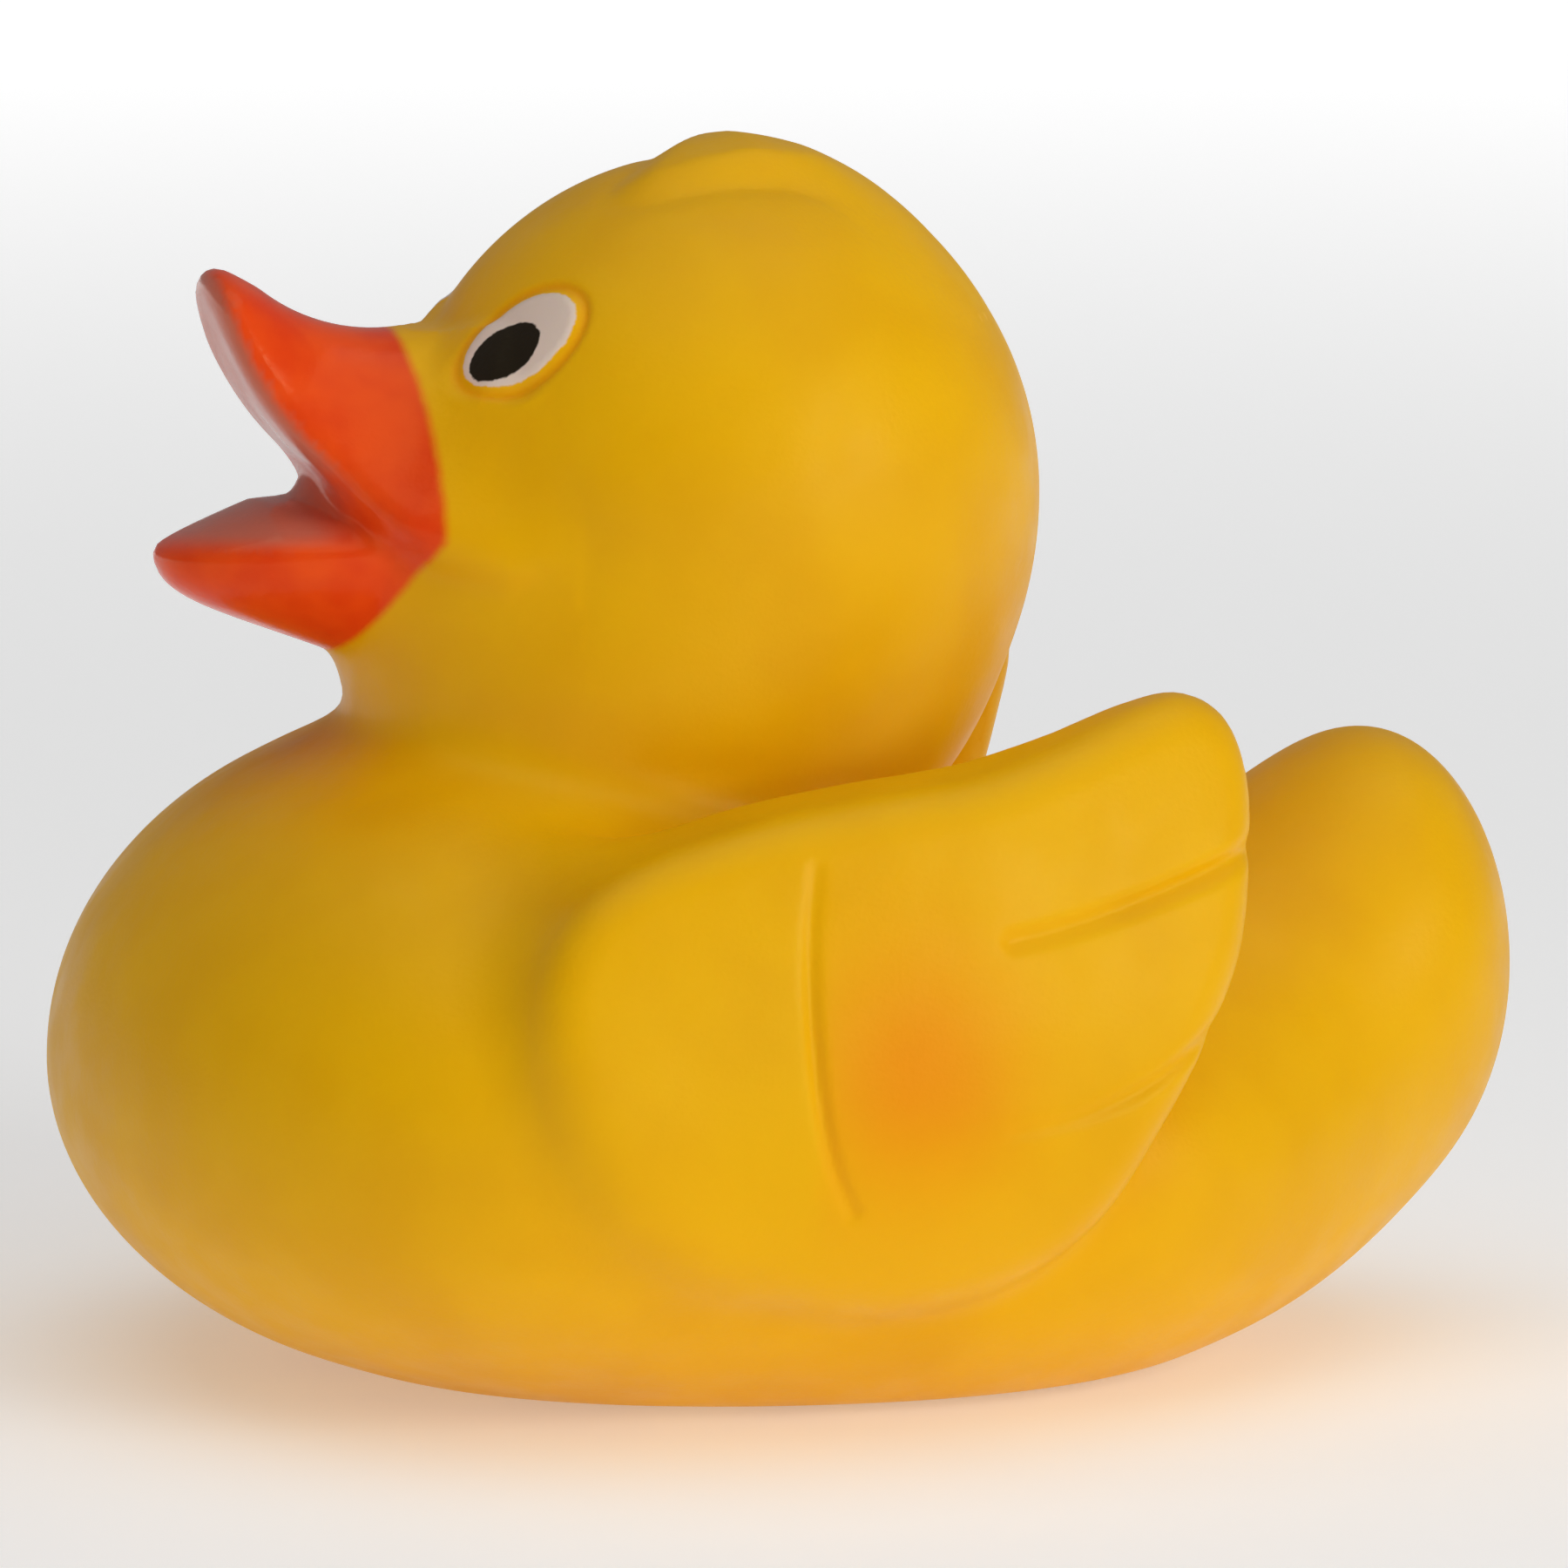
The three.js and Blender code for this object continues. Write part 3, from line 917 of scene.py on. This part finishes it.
def even_out(p: Points, quads: np.ndarray, share: float) -> Points:
    """Moves each vertex towards the middle of its neighbours.

    Args:
        p: Vertices.
        quads: Quads of vertex numbers.
        share: How much of the way they move.

    Returns:
        The moved vertices.
    """
    total = np.zeros_like(p)
    count = np.zeros(len(p))
    for a in range(4):
        for b in (a + 1, a + 3):
            np.add.at(total, quads[:, a], p[quads[:, b % 4]])
            np.add.at(count, quads[:, a], 1.0)
    return p + (total / count[:, None] - p) * share


# Finishes.


class NodeBench:
    """Builds one material's nodes, with short calls for the kinds used here."""

    def __init__(self, name: str) -> None:
        """Starts a material with only its output and its shader.

        Args:
            name: Name of the material.
        """
        self.material = bpy.data.materials.new(name)
        self.material.use_nodes = True
        self.tree = self.material.node_tree
        self.shader = self.tree.nodes["Principled BSDF"]

    def add(self, kind: str, **settings: object) -> bpy.types.Node:
        """Adds a node.

        Args:
            kind: Blender's name of the node type.
            settings: Values for the node's own settings.

        Returns:
            The node.
        """
        node = self.tree.nodes.new(kind)
        for key, value in settings.items():
            setattr(node, key, value)
        return node

    def plug(self, value: object, socket: bpy.types.NodeSocket) -> None:
        """Links an output into a socket, or sets a plain value on it."""
        if isinstance(value, bpy.types.NodeSocket):
            self.tree.links.new(value, socket)
        else:
            socket.default_value = value

    def math(self, operation: str, a: object, b: object = 0.0, c: object = 0.0) -> bpy.types.NodeSocket:
        """Result of a Math node on up to three numbers."""
        node = self.add("ShaderNodeMath", operation=operation)
        for value, socket in zip((a, b, c), node.inputs):
            self.plug(value, socket)
        return node.outputs[0]

    def between(self, value: object, low: float, high: float) -> bpy.types.NodeSocket:
        """Smooth rise from 0 at low to 1 at high."""
        node = self.add("ShaderNodeMapRange", interpolation_type="SMOOTHSTEP")
        self.plug(value, node.inputs["Value"])
        if low < high:
            node.inputs["From Min"].default_value, node.inputs["From Max"].default_value = low, high
            return node.outputs["Result"]
        node.inputs["From Min"].default_value, node.inputs["From Max"].default_value = high, low
        return self.math("SUBTRACT", 1.0, node.outputs["Result"])

    def spread(self, value: object, low: float, high: float) -> bpy.types.NodeSocket:
        """Turns a number from 0 to 1 into one from low to high."""
        return self.math("MULTIPLY_ADD", value, high - low, low)

    def mix(self, share: object, a: object, b: object) -> bpy.types.NodeSocket:
        """Mix of two colours."""
        node = self.add("ShaderNodeMix", data_type="RGBA")
        for value, name in ((share, "Factor_Float"), (a, "A_Color"), (b, "B_Color")):
            self.plug(value, next(s for s in node.inputs if s.identifier == name))
        return next(s for s in node.outputs if s.identifier == "Result_Color")

    def noise(self, size_mm: float, detail: float = 2.0, seed: float = 0.0) -> bpy.types.NodeSocket:
        """Soft noise fixed to the object, with blotches of about the given size.

        Args:
            size_mm: Size of a blotch.
            detail: How much finer noise is added.
            seed: Picks another pattern.

        Returns:
            The noise, from 0 to 1.
        """
        place = self.add("ShaderNodeTexCoord").outputs["Object"]
        node = self.add("ShaderNodeTexNoise", noise_dimensions="4D")
        self.plug(place, node.inputs["Vector"])
        node.inputs["W"].default_value = seed
        node.inputs["Scale"].default_value = 1.0 / (size_mm * MM)
        node.inputs["Detail"].default_value = detail
        return node.outputs["Fac"]

    def painted(self, paint: Paint) -> bpy.types.NodeSocket:
        """The number that the mesh holds for a painted area."""
        return self.add("ShaderNodeAttribute", attribute_name=paint.value).outputs["Fac"]

    def bump(
        self, height: object, depth_mm: float, over: bpy.types.NodeSocket | None = None
    ) -> bpy.types.NodeSocket:
        """Fine relief.

        Args:
            height: Relief, from 0 to 1.
            depth_mm: Height of the relief.
            over: A coarser relief that this one lies on.

        Returns:
            The bent normal.
        """
        node = self.add("ShaderNodeBump")
        node.inputs["Strength"].default_value = 1.0
        node.inputs["Distance"].default_value = depth_mm * MM
        self.plug(height, node.inputs["Height"])
        if over is not None:
            self.plug(over, node.inputs["Normal"])
        return node.outputs["Normal"]


def colour(red: int, green: int, blue: int) -> tuple[float, float, float, float]:
    """Linear colour of a display colour from 0 to 255."""
    def linear(level: float) -> float:
        """Linear value of one display level."""
        return level / 12.92 if level <= 0.04045 else ((level + 0.055) / 1.055) ** 2.4

    return linear(red / 255), linear(green / 255), linear(blue / 255), 1.0


@dataclass(frozen=True)
class DuckFinish:
    """Satin yellow vinyl with a glossy painted bill, painted eyes and an orange wing blush, with painted
    shade in the eye rings and a painted sheen inside the bill.
    """

    yellow: tuple = colour(244, 183, 0)
    deep_yellow: tuple = colour(238, 175, 0)
    blush: tuple = colour(246, 148, 0)
    bill: tuple = colour(246, 80, 20)
    deep_bill: tuple = colour(234, 64, 16)
    # Painted sheen: the paler pink put inside the open bill in place of reflection.
    gape_sheen: tuple = colour(206, 112, 90)
    eye_white: tuple = colour(232, 210, 194)
    pupil: tuple = colour(30, 22, 16)
    roughness: Pair = (0.36, 0.48)
    bill_roughness: Pair = (0.16, 0.27)
    eye_roughness: float = 0.3
    softness: float = 0.12
    specular: float = 0.26
    specular_tint: tuple = (1.0, 0.86, 0.42, 1.0)

    def make(self) -> bpy.types.Material:
        """The material."""
        bench = NodeBench("duck_vinyl")
        hand = bench.math("SUBTRACT", bench.noise(1.2, 3.0, 4.0), 0.5)
        wander = bench.math("MULTIPLY", hand, 0.25)
        bill_edge = bench.math("ADD", bench.painted(Paint.BILL), wander)
        bill = bench.between(bill_edge, -0.45, 0.4)
        ragged = bench.math("MULTIPLY", bench.math("SUBTRACT", bench.noise(0.35, 1.0, 9.0), 0.5), 0.22)
        white, pupil = (
            bench.between(bench.math("ADD", bench.painted(paint), ragged), 0.07, -0.07)
            for paint in (Paint.EYE, Paint.PUPIL)
        )
        clouds = bench.noise(9.0, 2.0, 1.0)
        blush = bench.math("MULTIPLY", bench.painted(Paint.BLUSH), bench.spread(clouds, 0.75, 1.1))
        base = bench.mix(bench.between(clouds, 0.35, 0.7), self.yellow, self.deep_yellow)
        # Painted shade: the moulded ring round each eye is tinted half-way to the blush orange.
        base = bench.mix(bench.math("MULTIPLY", bench.painted(Paint.RING_SHADE), 0.5), base, self.blush)
        base = bench.mix(blush, base, self.blush)
        lips = bench.mix(bench.between(bench.noise(4.0, 2.0, 2.0), 0.35, 0.7), self.bill, self.deep_bill)
        # Painted sheen: inside the open bill the paint is mixed most of the way to a paler pink.
        lips = bench.mix(bench.math("MULTIPLY", bench.painted(Paint.GAPE_SHEEN), 0.9), lips, self.gape_sheen)
        base = bench.mix(bill, base, lips)
        base = bench.mix(white, base, self.eye_white)
        base = bench.mix(pupil, base, self.pupil)
        bench.plug(base, bench.shader.inputs["Base Color"])
        handled = bench.noise(3.0, 4.0, 3.0)
        rough = bench.spread(bench.between(handled, 0.3, 0.7), *self.roughness)
        wet = bench.spread(bench.between(handled, 0.3, 0.7), *self.bill_roughness)
        rough = self._blend(bench, bill, rough, wet)
        rough = self._blend(bench, white, rough, self.eye_roughness)
        bench.plug(rough, bench.shader.inputs["Roughness"])
        ripple = bench.bump(bench.noise(3.2, 1.0, 5.0), 0.05)
        grain = bench.bump(bench.noise(0.35, 2.0, 6.0), 0.018, over=ripple)
        bench.plug(grain, bench.shader.inputs["Normal"])
        bench.shader.inputs["Specular IOR Level"].default_value = self.specular
        bench.shader.inputs["Specular Tint"].default_value = self.specular_tint
        bench.shader.inputs["Subsurface Weight"].default_value = self.softness
        bench.shader.inputs["Subsurface Radius"].default_value = (1.0, 0.45, 0.1)
        bench.shader.inputs["Subsurface Scale"].default_value = 2.0 * MM
        return bench.material

    @staticmethod
    def _blend(bench: NodeBench, share: object, a: object, b: object) -> bpy.types.NodeSocket:
        """A number that goes from a to b as share goes from 0 to 1."""
        gain = bench.math("SUBTRACT", b, a)
        return bench.math("MULTIPLY_ADD", share, gain, a)


@dataclass(frozen=True)
class PlasticFinish:
    """Plain injection-moulded plastic, slightly cloudy, from a light to a dark tone."""

    name: str
    light: tuple
    dark: tuple
    roughness: Pair

    def make(self) -> bpy.types.Material:
        """The material."""
        bench = NodeBench(self.name)
        clouds = bench.noise(2.5, 3.0, 7.0)
        base = bench.mix(bench.between(clouds, 0.35, 0.65), self.light, self.dark)
        bench.plug(base, bench.shader.inputs["Base Color"])
        bench.plug(bench.spread(clouds, *self.roughness), bench.shader.inputs["Roughness"])
        bench.plug(bench.bump(bench.noise(0.4, 2.0, 8.0), 0.01), bench.shader.inputs["Normal"])
        return bench.material


@dataclass(frozen=True)
class FloorFinish:
    """Matt pale paper that also glows, weakly near the duck and more strongly further out: painted light
    that brightens the floor and lights the duck from below.
    """

    tone: tuple = colour(250, 250, 250)
    glow: Pair = (0.26, 0.72)
    glow_between: Pair = (0.15, 1.1)

    def make(self) -> bpy.types.Material:
        """The material."""
        bench = NodeBench("pale_floor")
        fleck = bench.mix(bench.noise(2.0, 2.0, 0.0), self.tone, colour(246, 246, 246))
        bench.plug(fleck, bench.shader.inputs["Base Color"])
        bench.shader.inputs["Roughness"].default_value = 0.9
        bench.shader.inputs["Specular IOR Level"].default_value = 0.1
        # Painted light: the floor glows, more strongly further from the duck.
        place = bench.add("ShaderNodeTexCoord").outputs["Object"]
        away = bench.add("ShaderNodeVectorMath", operation="LENGTH")
        bench.plug(place, away.inputs[0])
        far = bench.between(away.outputs["Value"], *self.glow_between)
        bench.shader.inputs["Emission Color"].default_value = self.tone
        bench.plug(bench.spread(far, *self.glow), bench.shader.inputs["Emission Strength"])
        return bench.material


# Sub-assemblies.


@dataclass
class DuckSkin:
    """The one-piece vinyl skin: torso, wings and head run together, with its paint.

    Attributes:
        neck_crease: Width of the fillet where the neck meets the breast.
        neck_spread: How much wider that fillet is at the sides.
        neck_side: Distances from the middle between which it widens.
        wing_fillet: Width of the fillet round the wings.
        wing_spread: How much wider that fillet is at the front of a wing.
        wing_front: Forward positions between which it widens.
    """

    torso: Torso = field(default_factory=Torso)
    wing: Wing = field(default_factory=Wing)
    head: Head = field(default_factory=Head)
    seat: SqueakerSeat = field(default_factory=SqueakerSeat)
    mask: PaintMask = field(default_factory=PaintMask)
    neck_crease: float = 2.2
    neck_spread: float = 1.2
    neck_side: Pair = (2.0, 12.0)
    wing_fillet: float = 1.8
    wing_spread: float = 2.6
    wing_front: Pair = (6.0, 18.0)
    net: SkinNet = field(default_factory=lambda: SkinNet((0.0, -43.5, -1.0), (36.0, 43.5, 71.5), 0.55))
    finish: DuckFinish = field(default_factory=DuckFinish)

    def distance(self, p: Points) -> Values:
        """Distances to the whole duck, negative inside."""
        fillet = self.wing_fillet + self.wing_spread * ease(*self.wing_front, -p[:, 1])
        body = soft_join(self.torso.distance(p), self.wing.distance(p), fillet)
        crease = self.neck_crease + self.neck_spread * ease(*self.neck_side, np.abs(p[:, 0]))
        body = soft_join(body, self.head.distance(p), crease)
        return self.seat.carve(body, p)

    def build(self) -> bpy.types.Object:
        """Weaves the skin, refines it where the detail is fine, and paints it.

        Returns:
            The finished object, on its body and dressed.
        """
        vertices, quads = self.net.weave(self.distance)
        vertices = settle(self.distance, vertices, 2)
        for _ in range(2):
            vertices = settle(self.distance, even_out(vertices, quads, 0.6), 2)
        mesh = bpy.data.meshes.new("duck_skin")
        mesh.from_pydata((vertices * MM).tolist(), [], quads.tolist())
        self._refine(mesh)
        points = np.empty(len(mesh.vertices) * 3)
        mesh.vertices.foreach_get("co", points)
        points = settle(self.distance, points.reshape(-1, 3) / MM, 2)
        points = np.clip(points, *(np.array(corner) / MM for corner in CAD_BOX))
        mesh.vertices.foreach_set("co", (points * MM).ravel())
        mesh.update()
        normals = surface_normals(self.distance, points)
        normals /= np.maximum(np.linalg.norm(normals, axis=1), 1e-9)[:, None]
        mesh.polygons.foreach_set("use_smooth", [True] * len(mesh.polygons))
        mesh.normals_split_custom_set_from_vertices(normals.tolist())
        self._paint(mesh, points)
        mesh.materials.append(self.finish.make())
        skin = bpy.data.objects.new("duck_skin", mesh)
        bpy.context.scene.collection.objects.link(skin)
        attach(skin, ROOT_BODY)
        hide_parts(Node.BODY.value)
        LOG.info("duck skin: %d vertices, %d faces", len(mesh.vertices), len(mesh.polygons))
        return skin

    def _fine(self, p: Points) -> np.ndarray:
        """Which points lie where the detail is finer than the net."""
        eye = np.abs(self.head.eye.edge(p, self.head.skull.centre, pupil=False)) < 1.5
        seat = (np.abs(np.hypot(p[:, 0], p[:, 1]) - self.seat.counterbore) < 0.8) & (p[:, 2] < 2.2)
        groove = np.zeros(len(p), bool)
        outer = np.abs(p[:, 0]) > self.wing.face(-p[:, 1], p[:, 2]) - 3.0
        outer &= np.abs(p[:, 0]) > 18.0
        for line in self.wing.grooves:
            far, _ = line.line.nearest(-p[outer, 1], p[outer, 2])
            groove[outer] |= far < 2.2 * line.width
        return eye | seat | groove

    def _refine(self, mesh: bpy.types.Mesh) -> None:
        """Divides the faces that carry fine detail."""
        work = bmesh.new()
        work.from_mesh(mesh)
        centres = np.array([face.calc_center_median()[:] for face in work.faces]) / MM
        chosen = self._fine(centres)
        edges = {edge for face, fine in zip(work.faces, chosen) if fine for edge in face.edges}
        bmesh.ops.subdivide_edges(work, edges=list(edges), cuts=1, use_grid_fill=True)
        bmesh.ops.triangulate(work, faces=[face for face in work.faces if len(face.verts) > 4])
        work.to_mesh(mesh)
        work.free()

    def _paint(self, mesh: bpy.types.Mesh, p: Points) -> None:
        """Keeps the painted areas, the eye rings' painted shade and the bill's painted sheen on the
        mesh, as numbers at its vertices.
        """
        eye, centre = self.head.eye, self.head.skull.centre
        white = eye.edge(p, centre, pupil=False)
        areas = {
            Paint.BILL: self.mask.bill(p),
            Paint.EYE: white,
            Paint.PUPIL: eye.edge(p, centre, pupil=True),
            Paint.BLUSH: self.mask.blush(p),
            # Painted sheen inside the open bill.
            Paint.GAPE_SHEEN: self.head.gape_sheen(p),
            # Painted shade: a band in the eye ring's groove, just outside the white.
            Paint.RING_SHADE: np.exp(-(((white - eye.ring_gap) / eye.ring_width) ** 2)),
        }
        for paint, numbers in areas.items():
            layer = mesh.attributes.new(paint.value, "FLOAT", "POINT")
            layer.data.foreach_set("value", numbers.astype(np.float32))


@dataclass
class Squeaker:
    """The plugged-in squeaker: its CAD pieces stay, each with a moulded finish."""

    housing: PlasticFinish = PlasticFinish(
        "squeaker_natural", colour(236, 233, 224), colour(222, 218, 206), (0.34, 0.5)
    )
    reed: PlasticFinish = PlasticFinish(
        "reed_film", colour(214, 222, 226), colour(196, 206, 212), (0.2, 0.32)
    )

    def dress(self) -> None:
        """Gives each CAD piece of the squeaker its finish."""
        moulded, film = self.housing.make(), self.reed.make()
        finishes = {Node.HOUSING: moulded, Node.PLATE: moulded, Node.REED: film}
        for node, material in finishes.items():
            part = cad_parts[node.value]
            part.data.materials.clear()
            part.data.materials.append(material)
            LOG.info("%s: dressed in %s", node.value, material.name)


def heading(azimuth: float, elevation: float) -> Vector:
    """Direction from the duck, 0 degrees round in front of its bill and 90 on its left side."""
    around, above = math.radians(azimuth), math.radians(elevation)
    level = math.cos(above)
    return Vector((math.sin(around) * level, -math.cos(around) * level, math.sin(above)))


@dataclass(frozen=True)
class Lamp:
    """A large soft light that points at the duck.

    Attributes:
        azimuth: Degrees round the duck.
        elevation: Degrees above the horizon.
        far: Distance from the duck in metres.
        size: Width and height in metres.
        power: Watts.
    """

    name: str
    azimuth: float
    elevation: float
    far: float
    size: Pair
    power: float

    def place(self, target: Vector) -> None:
        """Adds the light to the scene, turned towards the target."""
        direction = heading(self.azimuth, self.elevation)
        light = bpy.data.lights.new(self.name, "AREA")
        light.shape = "RECTANGLE"
        light.size, light.size_y = self.size
        light.energy = self.power
        lamp = bpy.data.objects.new(self.name, light)
        lamp.location = target + direction * self.far
        lamp.rotation_euler = direction.to_track_quat("Z", "Y").to_euler()
        lamp.visible_camera = False
        bpy.context.scene.collection.objects.link(lamp)


@dataclass
class Studio:
    """Camera, pale floor and soft light."""

    azimuth: float = 76.0
    elevation: float = 9.0
    far: float = 0.6
    target: Triple = (0.0, -0.0002, 0.0328)
    lens: float = 242.4
    sensor: float = 36.0
    lamps: tuple[Lamp, ...] = (
        Lamp("key_softbox", 126.0, 18.0, 1.2, (0.6, 0.6), 4.6),
        Lamp("overhead", 90.0, 80.0, 2.4, (3.0, 3.0), 22.0),
        Lamp("low_card", 98.0, 4.0, 0.32, (0.18, 0.05), 0.06),
    )
    sky: float = 0.22
    floor_span: float = 6.0

    def build(self) -> None:
        """Sets up everything that isn't part of the duck."""
        self._camera()
        self._floor()
        for lamp in self.lamps:
            lamp.place(Vector(self.target))
        self._sky()

    def _camera(self) -> None:
        """Places the camera."""
        back = heading(self.azimuth, self.elevation)
        data = bpy.data.cameras.new("camera")
        data.lens = self.lens
        data.sensor_width = self.sensor
        data.clip_start, data.clip_end = 0.05, 20.0
        camera = bpy.data.objects.new("camera", data)
        camera.location = Vector(self.target) + back * self.far
        camera.rotation_euler = back.to_track_quat("Z", "Y").to_euler()
        bpy.context.scene.collection.objects.link(camera)
        bpy.context.scene.camera = camera

    def _floor(self) -> None:
        """Lays the floor."""
        work = bmesh.new()
        bmesh.ops.create_grid(work, x_segments=40, y_segments=40, size=self.floor_span / 2.0)
        mesh = bpy.data.meshes.new("floor")
        work.to_mesh(mesh)
        work.free()
        mesh.polygons.foreach_set("use_smooth", [True] * len(mesh.polygons))
        mesh.materials.append(FloorFinish().make())
        floor = bpy.data.objects.new("floor", mesh)
        bpy.context.scene.collection.objects.link(floor)

    def _sky(self) -> None:
        """Even light from all round."""
        world = bpy.data.worlds.new("studio")
        world.use_nodes = True
        background = world.node_tree.nodes["Background"]
        background.inputs["Color"].default_value = (1.0, 1.0, 1.0, 1.0)
        background.inputs["Strength"].default_value = self.sky
        bpy.context.scene.world = world
        bpy.context.scene.view_settings.view_transform = "Standard"


def main() -> None:
    """Builds the duck, its squeaker and the studio."""
    logging.basicConfig(level=logging.INFO, format="%(name)s: %(message)s")
    Studio().build()
    DuckSkin().build()
    Squeaker().dress()


if __name__ == "__main__":
    main()
